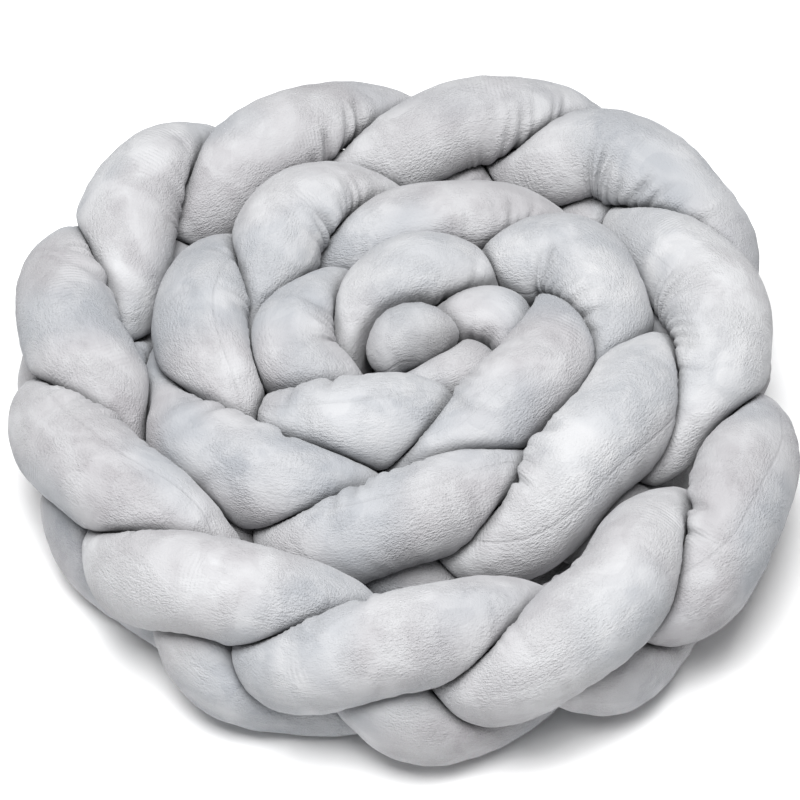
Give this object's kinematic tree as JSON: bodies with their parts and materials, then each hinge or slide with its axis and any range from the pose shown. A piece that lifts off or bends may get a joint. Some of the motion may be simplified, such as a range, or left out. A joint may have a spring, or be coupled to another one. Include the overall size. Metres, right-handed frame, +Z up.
{
  "type": "coiled braided cushion",
  "caption": "Round floor cushion made of a long plush braid of stuffed tubes, set on edge and wound in a flat spiral.",
  "frame": {"origin": "middle of the bounding box on the surface that the cushion rests on", "axes": "+Z up through the coil; the picture looks along +Y with +X to the right"},
  "size_m": [0.5708, 0.578, 0.1534],
  "materials": {
    "plush": "short-pile plush, pale grey, nap brushed in soft patches"
  },
  "bodies": {
    "root": {"strand_1": "plush", "strand_2": "plush", "strand_3": "plush"}
  },
  "joints": []
}
